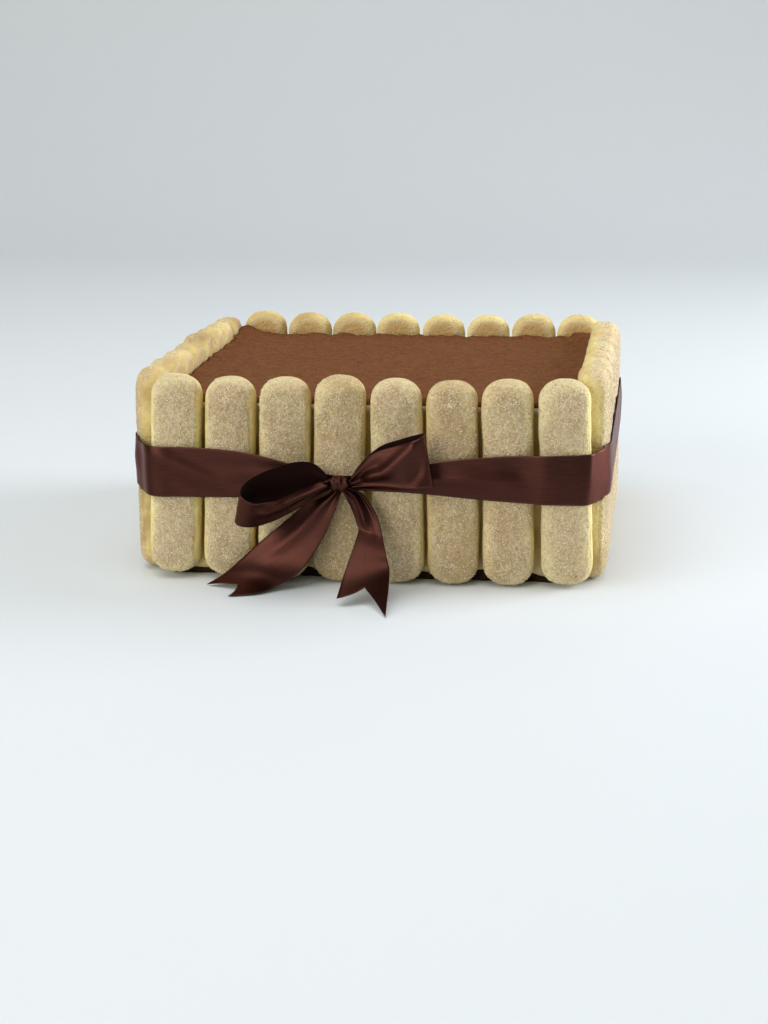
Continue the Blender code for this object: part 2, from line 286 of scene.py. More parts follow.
def add(tree, kind, inputs=None, **settings):
    """A node with its settings, and its inputs linked or set."""
    made = tree.nodes.new("ShaderNode" + kind)
    for name, value in settings.items():
        setattr(made, name, value)
    for name, value in (inputs or {}).items():
        socket = made.inputs[name]
        if isinstance(value, bpy.types.NodeSocket):
            tree.links.new(value, socket)
        else:
            socket.default_value = value
    return made


def rgba(colour):
    """A colour with its alpha, or a socket as it is."""
    return colour if isinstance(colour, bpy.types.NodeSocket) else (*colour, 1)


def mix(tree, share, first, second):
    """The first colour at share 0, the second at share 1."""
    inputs = {0: share, 6: rgba(first), 7: rgba(second)}
    return add(tree, "Mix", inputs, data_type="RGBA").outputs[2]


def maths(tree, operation, first, second=0.0, clamp=False):
    made = add(tree, "Math", {0: first, 1: second}, operation=operation, use_clamp=clamp)
    return made.outputs[0]


def spread(tree, value, low, high, to_low=0.0, to_high=1.0):
    """A socket's value moved from one range to another, held at both ends."""
    made = add(tree, "MapRange", {
        "Value": value, "From Min": low, "From Max": high, "To Min": to_low, "To Max": to_high,
    })
    return made.outputs["Result"]


def times(tree, first, second):
    return maths(tree, "MULTIPLY", first, second)


def height_of(tree, place):
    return add(tree, "SeparateXYZ", {"Vector": place}).outputs["Z"]


def paint(tree, shader, colour):
    tree.links.new(colour, shader.inputs["Base Color"])


def clouds(tree, place, scale, detail=3.0, roughness=0.55):
    """Cloudy noise from 0 to 1."""
    made = add(tree, "TexNoise", {
        "Vector": place, "Scale": scale, "Detail": detail, "Roughness": roughness,
    })
    return made.outputs["Fac"]


def new_material(name, roughness=0.8, **constants):
    """A material, its tree, its shader and the object coordinates."""
    made = bpy.data.materials.new(name)
    made.use_nodes = True
    tree = made.node_tree
    shader = tree.nodes["Principled BSDF"]
    shader.inputs["Roughness"].default_value = roughness
    for socket, value in constants.items():
        shader.inputs[socket.replace("_", " ")].default_value = value
    place = add(tree, "TexCoord").outputs["Object"]
    return made, tree, shader, place


def bump(tree, shader, height, distance, strength=1.0):
    made = add(tree, "Bump", {"Height": height, "Distance": distance, "Strength": strength})
    tree.links.new(made.outputs["Normal"], shader.inputs["Normal"])


def biscuit_material():
    """Sponge: yellow crumb on the sides, a sugared crust outside, a baked underside inside."""
    made, tree, shader, place = new_material(
        "ladyfinger", roughness=0.9, Specular_IOR_Level=0.25, Subsurface_Weight=0.3,
        Subsurface_Scale=0.004, Subsurface_Radius=(1.0, 0.65, 0.25),
    )
    zones = add(tree, "Attribute", attribute_name="zones")
    zone = add(tree, "SeparateColor", {"Color": zones.outputs["Color"]})
    crust, under, middle = zone.outputs[0], zone.outputs[1], zone.outputs[2]
    bake = zones.outputs["Alpha"]
    broad = spread(tree, clouds(tree, place, 70, 2), 0.35, 0.65)
    patch = spread(tree, clouds(tree, place, 260), 0.35, 0.68)
    lumps = spread(tree, clouds(tree, place, 620, 3, 0.65), 0.34, 0.66)
    fine = clouds(tree, place, 1300, 3, 0.7)

    crumb = mix(tree, patch, (0.88, 0.71, 0.28), (0.95, 0.83, 0.40))
    tanned = times(tree, bake, spread(tree, broad, 0.0, 0.8, 0.1, 0.7))
    crumb = mix(tree, tanned, crumb, (0.58, 0.39, 0.155))
    pores = spread(tree, clouds(tree, place, 800, 2, 0.6), 0.30, 0.40, 0.5, 0.0)
    crumb = mix(tree, pores, crumb, (0.45, 0.30, 0.10))

    rim = mix(tree, bake, (0.89, 0.76, 0.415), (0.80, 0.635, 0.32))
    heart = mix(tree, bake, (0.645, 0.485, 0.275), (0.46, 0.32, 0.16))
    face = mix(tree, middle, rim, heart)
    patchy = mix(tree, broad, (0.79, 0.66, 0.34), (0.64, 0.46, 0.30))
    face = mix(tree, times(tree, patch, 0.5), face, patchy)
    face = mix(tree, spread(tree, lumps, 0.0, 0.5, 0.5, 0.0), face, (0.42, 0.30, 0.15))
    face = mix(tree, spread(tree, lumps, 0.5, 1.0, 0.0, 0.45), face, (0.86, 0.75, 0.50))
    grain = add(tree, "TexVoronoi", {"Vector": place, "Scale": 1350.0})
    grain_tone = add(tree, "SeparateColor", {"Color": grain.outputs["Color"]}).outputs[0]
    near = spread(tree, grain.outputs["Distance"], 0.2, 0.5, 1.0, 0.0)
    bright = times(tree, near, spread(tree, grain_tone, 0.4, 0.9, 0.0, 1.0))
    face = mix(tree, bright, face, (0.94, 0.86, 0.63))
    dark = spread(tree, fine, 0.33, 0.47, 0.7, 0.0)
    face = mix(tree, dark, face, (0.33, 0.21, 0.10))
    colour = mix(tree, crust, crumb, face)

    specks = add(tree, "TexVoronoi", {"Vector": place, "Scale": 95.0})
    rare = add(tree, "SeparateColor", {"Color": specks.outputs["Color"]}).outputs[1]
    dot = spread(tree, specks.outputs["Distance"], 0.035, 0.06, 1.0, 0.0)
    dot = times(tree, dot, spread(tree, rare, 0.72, 0.78))
    colour = mix(tree, times(tree, dot, 0.75), colour, (0.13, 0.07, 0.03))

    baked = mix(tree, spread(tree, middle, 0.05, 0.8), (0.80, 0.68, 0.38), (0.68, 0.46, 0.18))
    baked = mix(tree, spread(tree, patch, 0.2, 1.0, 0.0, 0.3), baked, (0.80, 0.62, 0.30))
    colour = mix(tree, under, colour, baked)
    tan = times(tree, spread(tree, bake, 0.8, 1.6), spread(tree, patch, 0.0, 0.9, 0.3, 1.0))
    colour = mix(tree, tan, colour, (0.48, 0.325, 0.145))
    high = height_of(tree, place)
    dusting = spread(tree, high, COCOA_TOP - 0.5 * MM, COCOA_TOP + 3.6 * MM, 1.0, 0.0)
    powder = spread(tree, clouds(tree, place, 900, 2, 0.7), 0.42, 0.6)
    speck = times(tree, dusting, powder)
    colour = mix(tree, times(tree, speck, under), colour, (0.20, 0.085, 0.035))
    paint(tree, shader, colour)

    pebbles = spread(tree, grain.outputs["Distance"], 0.0, 0.6, 1.0, 0.0)
    rough = mix(tree, crust, times(tree, fine, 0.8), pebbles)
    height = maths(tree, "ADD", times(tree, rough, 0.8), times(tree, lumps, 0.9))
    bump(tree, shader, height, 0.55 * MM, 0.9)
    return made


def sugar_material():
    """Sugar: glossy grains, some white, some stained by the crust."""
    made, tree, shader, place = new_material("sugar_grains", roughness=0.3)
    tone = spread(tree, clouds(tree, place, 900, 1), 0.35, 0.65)
    paint(tree, shader, mix(tree, tone, (0.75, 0.62, 0.37), (0.92, 0.84, 0.62)))
    return made


def cream_material():
    """Cream: pale at its top lip and foot, and darker golden between them as painted shade for the
    gaps between the biscuits.
    """
    made, tree, shader, place = new_material(
        "cream", roughness=0.6, Subsurface_Weight=0.4, Subsurface_Scale=0.004,
        Subsurface_Radius=(1.0, 0.7, 0.35),
    )
    tone = spread(tree, clouds(tree, place, 120), 0.35, 0.65)
    clean = mix(tree, tone, (0.76, 0.64, 0.38), (0.84, 0.75, 0.52))
    # Painted shade: between its lip and its foot the cream is darkened golden to stand for the
    # shade in the gaps between the biscuits.
    gap_shade_tone = mix(tree, tone, (0.62, 0.42, 0.11), (0.72, 0.53, 0.18))
    high = height_of(tree, place)
    lip = spread(tree, high, CREAM_TOP - 3.2 * MM, CREAM_TOP - 1.6 * MM)
    foot = spread(tree, high, 9 * MM, 15 * MM, 0.5, 0.0)
    colour = mix(tree, maths(tree, "ADD", lip, foot, True), gap_shade_tone, clean)
    paint(tree, shader, colour)
    bump(tree, shader, clouds(tree, place, 400, 4), 0.5 * MM, 0.4)
    return made


def cocoa_material():
    """Cocoa powder: dry, mottled and clotted in fine grains."""
    made, tree, shader, place = new_material("cocoa_powder", roughness=1.0, Specular_IOR_Level=0.1)
    broad = spread(tree, clouds(tree, place, 45), 0.3, 0.7)
    mottle = spread(tree, clouds(tree, place, 300, 4, 0.7), 0.3, 0.7)
    powder = clouds(tree, place, 1150, 4, 0.8)
    colour = mix(tree, mottle, (0.140, 0.047, 0.0145), (0.265, 0.108, 0.042))
    colour = mix(tree, times(tree, broad, 0.35), colour, (0.215, 0.086, 0.033))
    colour = mix(tree, spread(tree, powder, 0.52, 0.70, 0.0, 0.75), colour, (0.37, 0.17, 0.078))
    colour = mix(tree, spread(tree, powder, 0.30, 0.47, 0.75, 0.0), colour, (0.075, 0.023, 0.007))
    paint(tree, shader, colour)
    height = maths(tree, "ADD", powder, times(tree, mottle, 0.9))
    bump(tree, shader, height, 0.9 * MM)
    return made


def soaked_and_shaded_material():
    """Soaked sponge, its colour darkened to nearly black as painted shade for the shadow between
    the biscuits' feet.
    """
    made, tree, shader, place = new_material(
        "soaked_sponge", roughness=0.7, Specular_IOR_Level=0.15,
    )
    tone = spread(tree, clouds(tree, place, 300, 4, 0.65), 0.35, 0.65)
    # Near black: the soaked sponge's own dark colour, darkened further as painted shade between the
    # feet.
    colour = mix(tree, tone, (0.014, 0.006, 0.003), (0.055, 0.022, 0.010))
    paint(tree, shader, colour)
    bump(tree, shader, clouds(tree, place, 700, 4, 0.7), 0.8 * MM, 0.8)
    return made


def satin_material():
    """Woven satin: long threads side by side that spread its gloss across them, a woven edge,
    and a dull reverse, its colour darkened as painted shade for the inside of the loops."""
    made, tree, shader, _ = new_material(
        "satin", Anisotropic=0.55, Anisotropic_Rotation=0.25, Specular_Tint=(0.85, 0.62, 0.60, 1),
        Specular_IOR_Level=0.1,
    )
    cloth = add(tree, "UVMap", uv_map="cloth").outputs["UV"]
    across = add(tree, "SeparateXYZ", {"Vector": cloth}).outputs["Y"]
    from_middle = maths(tree, "ABSOLUTE", maths(tree, "SUBTRACT", across, RIBBON_WIDTH / 2))
    selvedge = spread(tree, from_middle, RIBBON_WIDTH / 2 - 0.9 * MM, RIBBON_WIDTH / 2 - 0.5 * MM)
    fine = add(tree, "Mapping", {"Vector": cloth, "Scale": (900.0, 7000.0, 1.0)})
    threads = clouds(tree, fine.outputs["Vector"], 1.0, 2)
    long = add(tree, "Mapping", {"Vector": cloth, "Scale": (90.0, 1500.0, 1.0)})
    slub = spread(tree, clouds(tree, long.outputs["Vector"], 1.0), 0.3, 0.7)
    colour = mix(tree, slub, (0.052, 0.0185, 0.0134), (0.070, 0.0255, 0.0188))
    colour = mix(tree, times(tree, selvedge, 0.5), colour, (0.11, 0.045, 0.036))
    reverse = add(tree, "Attribute", attribute_name="reverse").outputs["Fac"]
    # The reverse is dull, a real matte back, and near black: painted shade for the inside of the
    # loops.
    colour = mix(tree, reverse, colour, (0.013, 0.0040, 0.0028))
    tree.links.new(spread(tree, reverse, 0.0, 1.0, 0.35, 0.75), shader.inputs["Roughness"])
    tree.links.new(spread(tree, reverse, 0.0, 1.0, 0.95, 0.0), shader.inputs["Metallic"])
    paint(tree, shader, colour)
    height = maths(tree, "ADD", threads, times(tree, selvedge, 1.2))
    bump(tree, shader, height, 0.07 * MM, 0.6)
    along = add(tree, "Tangent", direction_type="UV_MAP", uv_map="cloth").outputs["Tangent"]
    tree.links.new(along, shader.inputs["Tangent"])
    return made


def floor_material():
    """Pale floor that turns greyer up the backdrop."""
    made, tree, shader, place = new_material("pale_floor", roughness=0.55, Specular_IOR_Level=0.3)
    tone = clouds(tree, place, 2, 2)
    high = height_of(tree, place)
    floor = mix(tree, tone, (0.75, 0.80, 0.815), (0.78, 0.83, 0.845))
    colour = mix(tree, spread(tree, high, 0.0, 0.9), floor, (0.70, 0.705, 0.665))
    paint(tree, shader, colour)
    return made


def new_object(name, data):
    made = bpy.data.objects.new(name, data)
    bpy.context.scene.collection.objects.link(made)
    return made


def mesh_object(name, points, faces, material):
    """A smooth mesh in the scene."""
    mesh = bpy.data.meshes.new(name)
    mesh.from_pydata([tuple(p) for p in points], [], faces)
    mesh.materials.append(material)
    mesh.shade_smooth()
    return new_object(name, mesh)


def dress(made, node):
    """The piece rides on the cake and stands for its node, whose CAD part is hidden."""
    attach(made, "root")
    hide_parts(node)


def quads(rows, columns, wrap):
    """The faces of a grid of points, row after row; wrap closes each row."""
    faces = []
    for start in range(0, (rows - 1) * columns, columns):
        below = start + columns
        for here in range(columns if wrap else columns - 1):
            after = (here + 1) % columns
            faces.append((start + here, start + after, below + after, below + here))
    return faces


def curve_through(points, steps):
    """Points on a smooth curve through the given ones, steps to each stretch."""
    points = np.array(points, float)
    padded = np.vstack([2 * points[0] - points[1], points, 2 * points[-1] - points[-2]])
    smooth = []
    for at in range(len(points) - 1):
        before, start, end, after = padded[at:at + 4]
        for t in np.arange(steps) / steps:
            smooth.append(0.5 * (
                2 * start + (end - before) * t + (2 * before - 5 * start + 4 * end - after) * t ** 2
                + (3 * start - before - 3 * end + after) * t ** 3
            ))
    smooth.append(points[-1])
    return np.array(smooth)


def run_along(points):
    """The distance run along a line of points at each of them."""
    return np.concatenate([[0], np.cumsum(np.linalg.norm(np.diff(points, axis=0), axis=1))])


def grid_normals(grid, wrap):
    """Unit normals of a grid of points (rows, columns, 3)."""
    down = np.gradient(grid, axis=0)
    if wrap:
        along = np.roll(grid, -1, axis=1) - np.roll(grid, 1, axis=1)
    else:
        along = np.gradient(grid, axis=1)
    normal = np.cross(along, down)
    return normal / np.maximum(np.linalg.norm(normal, axis=2, keepdims=True), 1e-12)


def finger_places():
    """Where each ladyfinger stands, with the same draws as the CAD model."""
    chance = random.Random(11)
    places = []
    for row in ROWS:
        turn = Matrix.Rotation(math.radians(row.turn), 4, "Z")
        sway = (row.gap - CLEARANCE) / 2
        for place in range(FINGERS_PER_ROW):
            lift = FOOT_LIFT
            foot_shift = chance.uniform(-SWAY_SHARE, SWAY_SHARE) * sway
            if row.name == "front":
                lift = FRONT_FOOT_LIFTS[place]
                foot_shift = FRONT_FOOT_SHIFTS[place]
            length = FINGER_LENGTH + chance.uniform(-1, 1) * LENGTH_SPREAD
            length += ODD_LENGTHS.get((row.name, place + 1), 0) - lift
            depth = FINGER_DEPTH - chance.uniform(0, 1) * DEPTH_SPREAD
            phase = chance.uniform(0, 2 * math.pi)
            along = row.middle + row.pitch * (place - (FINGERS_PER_ROW - 1) / 2) + foot_shift
            lean = -math.asin(foot_shift / length)
            yaw = chance.uniform(-YAW_SHARE, YAW_SHARE) * sway / FINGER_DEPTH
            stand = Matrix.Translation((along, -CORE_SIDE / 2 - CLEARANCE, lift))
            tilt = Euler((0, lean, yaw)).to_matrix().to_4x4()
            name = f"{row.name}_{place + 1}"
            places.append((name, turn @ stand @ tilt, row.pitch - row.gap, length, depth, phase))
    return places


def finger_outline(width, length):
    """The racetrack outline as (x, height), from the top round by +x, mirrored in x = 0."""
    angles = np.linspace(0, np.pi / 2, 60)
    power = 2 / FINGER_END_SQUARENESS
    across = width / 2 * np.sin(angles) ** power
    up = FINGER_END_RISE * np.cos(angles) ** power
    x = np.concatenate([across, across[::-1]])
    z = np.concatenate([length - FINGER_END_RISE + up, FINGER_END_RISE - up[::-1]])
    run = run_along(np.column_stack([x, z]))
    at = np.linspace(0, run[-1], OUTLINE_POINTS // 2 + 1)
    x, z = np.interp(at, run, x), np.interp(at, run, z)
    return np.concatenate([x, -x[-2:0:-1]]), np.concatenate([z, z[-2:0:-1]])


def band_section(x, on_front):
    """The ribbon band's low and high edge at a place along it."""
    width = RIBBON_WIDTH
    height = BAND_HEIGHT
    if on_front:
        aside = x - KNOT.x
        reach = BAND_TAPER_LEFT if aside < 0 else BAND_TAPER_RIGHT
        gather = math.exp(-(abs(aside) / reach) ** BAND_TAPER_POWER)
        width -= (RIBBON_WIDTH - BAND_KNOT_WIDTH) * gather
        height -= BAND_FRONT_DROP
        height -= BAND_KNOT_DROP * math.exp(-(aside / BAND_KNOT_DROP_REACH) ** 2)
    return height - width / 2, height + width / 2


def section_rings(width):
    """The section as rings close together on the face, wider apart on the underside, in mm."""
    smooth = curve_through(SECTION, 12)
    run = run_along(smooth)
    run = run / run[-1]
    at = np.concatenate([
        np.linspace(0, UNDER_SHARE, UNDER_RINGS, endpoint=False),
        np.linspace(UNDER_SHARE, WALL_SHARE, WALL_RINGS, endpoint=False),
        np.linspace(WALL_SHARE, 1, FACE_RINGS),
    ])
    inset = np.interp(at, run, smooth[:, 0]) / SECTION_WIDTH * width / MM
    return inset, np.interp(at, run, smooth[:, 1])


def finger_grid(width, length, depth, phase):
    """A plain ladyfinger: rings of points, with each point's inset and level in mm."""
    x, z = finger_outline(width, length)
    spine = np.clip(z, FINGER_END_RISE, length - FINGER_END_RISE)
    waist = 1 - FINGER_WAIST * (0.5 + 0.5 * np.sin(2 * np.pi * z / length + phase))
    insets, levels = section_rings(width)
    share = (1 - insets * MM / (width / 2))[:, None]
    near_end = np.clip(np.abs(z - length / 2) / (length / 2 - FINGER_END_RISE) - 0.9, 0, 1)
    drop = FINGER_END_DROP * near_end * ramp(levels, 13, 16)[:, None]
    y = -levels[:, None] * MM * depth / FINGER_DEPTH + drop
    grid = np.stack([x * share * waist, y, spine + (z - spine) * share], -1)
    ends = ramp(np.abs(z - spine) / FINGER_END_RISE, 0.2, 0.85)
    count, ring = grid.shape[:2]
    return grid, np.repeat(insets, ring), np.repeat(levels, ring), np.tile(ends, count)


def finger_relief(flat, inset, level, ends, edge_depths, key):
    """How far each point stands off the plain form in mm, and how much crust and heart it has."""
    side = np.where(flat[:, 0] > 0, edge_depths[0], edge_depths[1])
    plan = flat * (1, 0, 1)
    wave = noise(plan, 13 * MM, key) * 0.8 + noise(plan, 3.4 * MM, key + 1) * 0.35
    edge = side * (1 - ends) + CRUST_END_DEPTH * ends + wave
    past_edge = level - edge
    soft = 0.5 + 1.6 * ends
    face = ramp(past_edge / soft, -1.0, 1.0)
    wall = (1 - face) * ramp(level, 0.3, 2)
    patches = noise(flat, 12 * MM, key + 2) * 3.2 + noise(flat, 3.5 * MM, key + 8) * 1.2
    heart = ramp(patches * 0.8 + (inset - 3.8) * 0.75, -2.0, 2.2) * face
    swell = noise(flat, 26 * MM, key + 3) * 0.36 + noise(flat, 9 * MM, key + 4) * 0.22
    pebble = (noise(flat, 3.0 * MM, key + 5) * 0.17 + noise(flat, 1.6 * MM, key + 6) * 0.19) * face
    streaks = noise(flat * (1, 1, 0.3), 2.2 * MM, key + 7) * 0.15 * wall
    sharp = 1 - 0.8 * ends
    groove = -0.4 * np.exp(-((past_edge + 0.3) / 0.5) ** 2) * sharp
    lip = 0.2 * np.exp(-((past_edge - 0.9) / 0.7) ** 2) * sharp
    push = swell + pebble + streaks + groove + lip + 0.16 * heart - 0.05
    under = 1 - ramp(level, 0.4, 1.2)
    return np.minimum(push, 0.25) * (1 - 0.7 * under), face, heart, under, past_edge


def grain_spots(points, normals, chance, count, on_front):
    """Where sugar grains lie on a crust, clear of the ribbon."""
    spots = []
    for at in chance.sample(range(len(points)), min(len(points), count)):
        low, high = band_section(points[at][0], on_front)
        if not low - 0.5 * MM < points[at][2] < high + 0.5 * MM:
            spots.append((points[at], normals[at]))
    return spots


def sugar_grains(spots, material):
    """One mesh of small eight-sided sugar grains, half sunk in the crusts."""
    chance = random.Random(77)
    tips = np.array([(1, 0, 0), (0, 1, 0), (-1, 0, 0), (0, -1, 0), (0, 0, 1), (0, 0, -1)], float)
    sides = [(a, (a + 1) % 4, 4) for a in range(4)] + [((a + 1) % 4, a, 5) for a in range(4)]
    made, faces = [], []
    for point, normal in spots:
        size = chance.uniform(*GRAIN_SIZE)
        turn = np.array(Euler([chance.uniform(0, 3.1) for _ in range(3)]).to_matrix())
        shape = np.array([chance.uniform(0.8, 1.5) for _ in range(3)]) * size
        slip = np.array([chance.uniform(-0.4, 0.4) for _ in range(3)]) * MM
        slip -= normal * slip.dot(normal)
        start = len(made) * 6
        made.append((tips * shape) @ turn.T + point + slip + normal * size * 0.25)
        faces.extend(tuple(start + corner for corner in side) for side in sides)
    flat = np.concatenate(made)
    flat[:, 2] = np.maximum(flat[:, 2], 0)
    grains = mesh_object("sugar_grains", flat, faces, material)
    grains.data.shade_flat()
    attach(grains, "root")


def ladyfinger(name, matrix, width, length, depth, phase, seed, material):
    """One biscuit in its place, and the spots where its sugar grains lie."""
    chance = random.Random(400 + seed)
    on_front = name.startswith("front")
    grid, inset, level, ends = finger_grid(width, length, depth, phase)
    count, ring = grid.shape[:2]
    normal = grid_normals(grid, True)
    outward = 1 if normal[-3, 10, 1] < 0 else -1
    normal = (normal * outward).reshape(-1, 3)
    flat = grid.reshape(-1, 3)
    side = PLAIN_WALLED.get(name, CRUST_SIDE_DEPTH)
    loose = 0.0 if name in PLAIN_WALLED else CRUST_SPREAD
    edge_depths = [side + chance.uniform(-1, 0.6) * loose for _ in range(2)]
    relief = finger_relief(flat, inset, level, ends, edge_depths, float(seed))
    push, face, heart, under, past_edge = relief
    banded = window(flat[:, 2], 40 * MM, 71 * MM, 3 * MM)
    push = np.where(banded > 0, np.minimum(push, 0.25 - 0.2 * banded), push)
    flat = flat + normal * (push * MM)[:, None]

    faces = quads(count, ring, True)
    for row, order in ((0, -1), (count - 1, 1)):
        start = row * ring
        for at in range(ring // 2):
            opposite = ((ring - at - 1) % ring, (ring - at) % ring)
            four = dict.fromkeys(start + corner for corner in (at, at + 1, *opposite))
            faces.append(tuple(list(four)[::order]))
    if outward < 0:
        faces = [corners[::-1] for corners in faces]

    world = np.array(matrix)
    flat = flat @ world[:3, :3].T + world[:3, 3]
    flat[:, 2] = np.maximum(flat[:, 2], 0)
    normal = normal @ world[:3, :3].T
    made = mesh_object(f"finger_{name}", flat, faces, material)
    row, place = name.split("_")
    bake = FRONT_BAKE[int(place) - 1] if on_front else chance.uniform(*ROW_BAKE[row])
    patches = BAKE_PATCHES_FRONT if on_front else BAKE_PATCHES_ELSEWHERE
    zones = np.ones((len(flat), 4), np.float32)
    zones[:, 0] = face
    zones[:, 1] = under
    zones[:, 2] = under * ramp(inset, 1.0, 9.0) + heart * (1 - under)
    zones[:, 3] = np.clip(bake + patches * noise(flat, 14 * MM, seed + 0.5), 0, 2)
    colours = made.data.color_attributes.new("zones", "FLOAT_COLOR", "POINT")
    colours.data.foreach_set("color", zones.ravel())
    dress(made, f"ladyfinger_{name}")
    sugared = np.nonzero(past_edge > 0.2)[0]
    wanted = GRAINS_FRONT if on_front else GRAINS_ELSEWHERE
    return grain_spots(flat[sugared], normal[sugared], chance, wanted, on_front)


def rounded_square(side, corner, step):
    """Counter-clockwise plan points and outward normals of a rounded square."""
    points, normals = [], []
    straight = side - 2 * corner
    for turn in range(4):
        spin = math.pi / 2 * turn
        normal = np.array((math.sin(spin), -math.cos(spin)))
        along = np.array((math.cos(spin), math.sin(spin)))
        for at in np.arange(-straight / 2, straight / 2, step):
            points.append(normal * side / 2 + along * at)
            normals.append(normal)
        for bend in np.linspace(0, math.pi / 2, 7)[:-1]:
            out = normal * math.cos(bend) + along * math.sin(bend)
            points.append((normal + along) * (side / 2 - corner) + out * corner)
            normals.append(out)
    return np.array(points), np.array(normals)


def soak_line(plan):
    """How high the soaked layer reaches at plan points: uneven, with cream sagging over it."""
    points = np.column_stack([plan, np.zeros(len(plan))])
    uneven = (2.4 * noise(points, 9 * MM, 95) + 0.9 * noise(points, 3.2 * MM, 96)) * MM
    return np.clip(SOAK_HEIGHT + uneven, SOAK_LOWEST, SOAK_HIGHEST)


def level_at(height):
    """A height that is the same at all plan points."""
    return lambda plan: np.full(len(plan), height)


def walled_block(name, rings, low, high, push, material, node):
    """A square block from the heights low(plan) to high(plan), whose wall is pushed out by
    push(points), closed above and below."""
    plan, out = rounded_square(CORE_SIDE, CORE_CORNER, WALL_STEP)
    ring = len(plan)
    rows = []
    for share in np.linspace(0, 1, rings):
        points = np.column_stack([plan, low(plan) * (1 - share) + high(plan) * share])
        rows.append(points + np.column_stack([out, np.zeros(ring)]) * push(points)[:, None])
    flat = np.concatenate(rows)
    faces = quads(rings, ring, True)
    faces.append(tuple(range(ring))[::-1])
    faces.append(tuple(range((rings - 1) * ring, rings * ring)))
    made = mesh_object(name, flat, faces, material)
    dress(made, node)


def cream_push(points):
    """Cream pressed out a little between the biscuits, most at its top edge and its foot."""
    level = points[:, 2]
    top = np.exp(-((level - CREAM_TOP) / (2.2 * MM)) ** 2)
    foot = np.exp(-((level - 5.5 * MM) / (3.5 * MM)) ** 2)
    smears = np.maximum(noise(points, 7 * MM, 91), 0)
    lumps = 0.5 + 0.5 * noise(points, 3.5 * MM, 92)
    return (top * (1.6 + 1.4 * lumps) + foot * (1.5 + 2.5 * lumps) + smears * 1.3) * MM


def base_push(points):
    """The soaked sponge's open crumb."""
    lumps = 0.5 + 0.5 * noise(points, 4 * MM, 93) + 0.4 * noise(points, 1.9 * MM, 94)
    return (0.2 + 1.3 * lumps) * MM


def cocoa_top(material):
    """The dusted top: grainy, a little piled against the biscuits and in the back corners."""
    half = CORE_SIDE / 2
    side = np.linspace(-half, half, COCOA_CELLS + 1)
    x, y = np.meshgrid(side, side)
    points = np.column_stack([x.ravel(), y.ravel(), np.zeros(x.size)])
    height = np.full(len(points), COCOA_TOP)
    from_left = np.hypot(points[:, 0] + half, points[:, 1] - half)
    height += COCOA_CREEP * np.exp(-((from_left / COCOA_CREEP_REACH) ** 2))
    from_right = np.hypot(points[:, 0] - half, points[:, 1] - half)
    height += COCOA_SHELF * (1 - ramp(from_right, *COCOA_SHELF_EDGE))
    from_edge = half - np.maximum(np.abs(points[:, 0]), np.abs(points[:, 1]))
    pile = np.exp(-((from_edge / (2.0 * MM)) ** 2)) * (0.8 + 1.1 * noise(points, 5 * MM, 71))
    height += pile * MM
    height += (noise(points, 32 * MM, 72) * 0.3 + noise(points, 11 * MM, 73) * 0.18) * MM
    height += (noise(points, 4.6 * MM, 74) * 0.26 + noise(points, 2.4 * MM, 75) * 0.26) * MM
    points[:, 2] = height
    count = len(points)
    faces = quads(*x.shape, False)
    index = np.arange(count).reshape(x.shape)
    rim = [*index[0], *index[1:, -1], *index[-1, -2::-1], *index[-2:0:-1, 0]]
    under = points[rim].copy()
    under[:, 2] = CREAM_TOP - 0.5 * MM
    for at in range(len(rim)):
        after = (at + 1) % len(rim)
        faces.append((rim[after], rim[at], count + at, count + after))
    faces.append(tuple(count + at for at in range(len(rim)))[::-1])
    made = mesh_object("cocoa_dusting", np.concatenate([points, under]), faces, material)
    dress(made, "cocoa_top")


def cloth_object(name, grid, material, face_side, closed=False):
    """A thin cloth along a grid of points (along, across, 3), with its UVs in metres. Its face
    is on the side of the grid's normals where face_side is 1, and its reverse where it is -1."""
    rows, columns = grid.shape[:2]
    around = np.concatenate([grid[-1:], grid, grid[:1]]) if closed else grid
    normal = grid_normals(around, False)
    normal = normal[1:-1] if closed else normal
    sides = [grid + normal * (sign * face_side * RIBBON_THICKNESS / 2) for sign in (1, -1)]
    count = rows * columns
    front = quads(rows, columns, False)
    last = (rows - 1) * columns
    if closed:
        front += [(last + c, last + c + 1, c + 1, c) for c in range(columns - 1)]
    faces = front + [tuple(corner + count for corner in face[::-1]) for face in front]
    edges = []
    for row in range(rows if closed else rows - 1):
        after = (row + 1) % rows
        edges.append((after * columns, row * columns))
        edges.append((row * columns + columns - 1, after * columns + columns - 1))
    if not closed:
        edges += [(c, c + 1) for c in range(columns - 1)]
        edges += [(last + c + 1, last + c) for c in range(columns - 1)]
    faces += [(b, a, a + count, b + count) for a, b in edges]
    if face_side < 0:
        faces = [face[::-1] for face in faces]
    points = np.concatenate([side.reshape(-1, 3) for side in sides])
    points[:, 2] = np.maximum(points[:, 2], 0)
    made = mesh_object(name, points, faces, material)
    # Marks the reverse side, which the satin colours near black as painted shade.
    reverse = made.data.attributes.new("reverse", "FLOAT", "POINT")
    reverse.data.foreach_set("value", np.repeat((0.0, 1.0), count))
    middle = grid[:, columns // 2]
    run = run_along(middle)
    full = run[-1] + np.linalg.norm(middle[-1] - middle[0])
    flat = []
    for face in faces:
        spots = [divmod(corner % count, columns) for corner in face]
        closing = closed and {row for row, _ in spots} == {0, rows - 1}
        for row, column in spots:
            here = full if closing and row == 0 else run[row]
            flat += (here, RIBBON_WIDTH * column / (columns - 1))
    made.data.uv_layers.new(name="cloth").data.foreach_set("uv", flat)
    return made


def softened(line):
    """A closed line with each point drawn halfway to the middle of its neighbours."""
    return line * 0.5 + (np.roll(line, 1, 0) + np.roll(line, -1, 0)) * 0.25


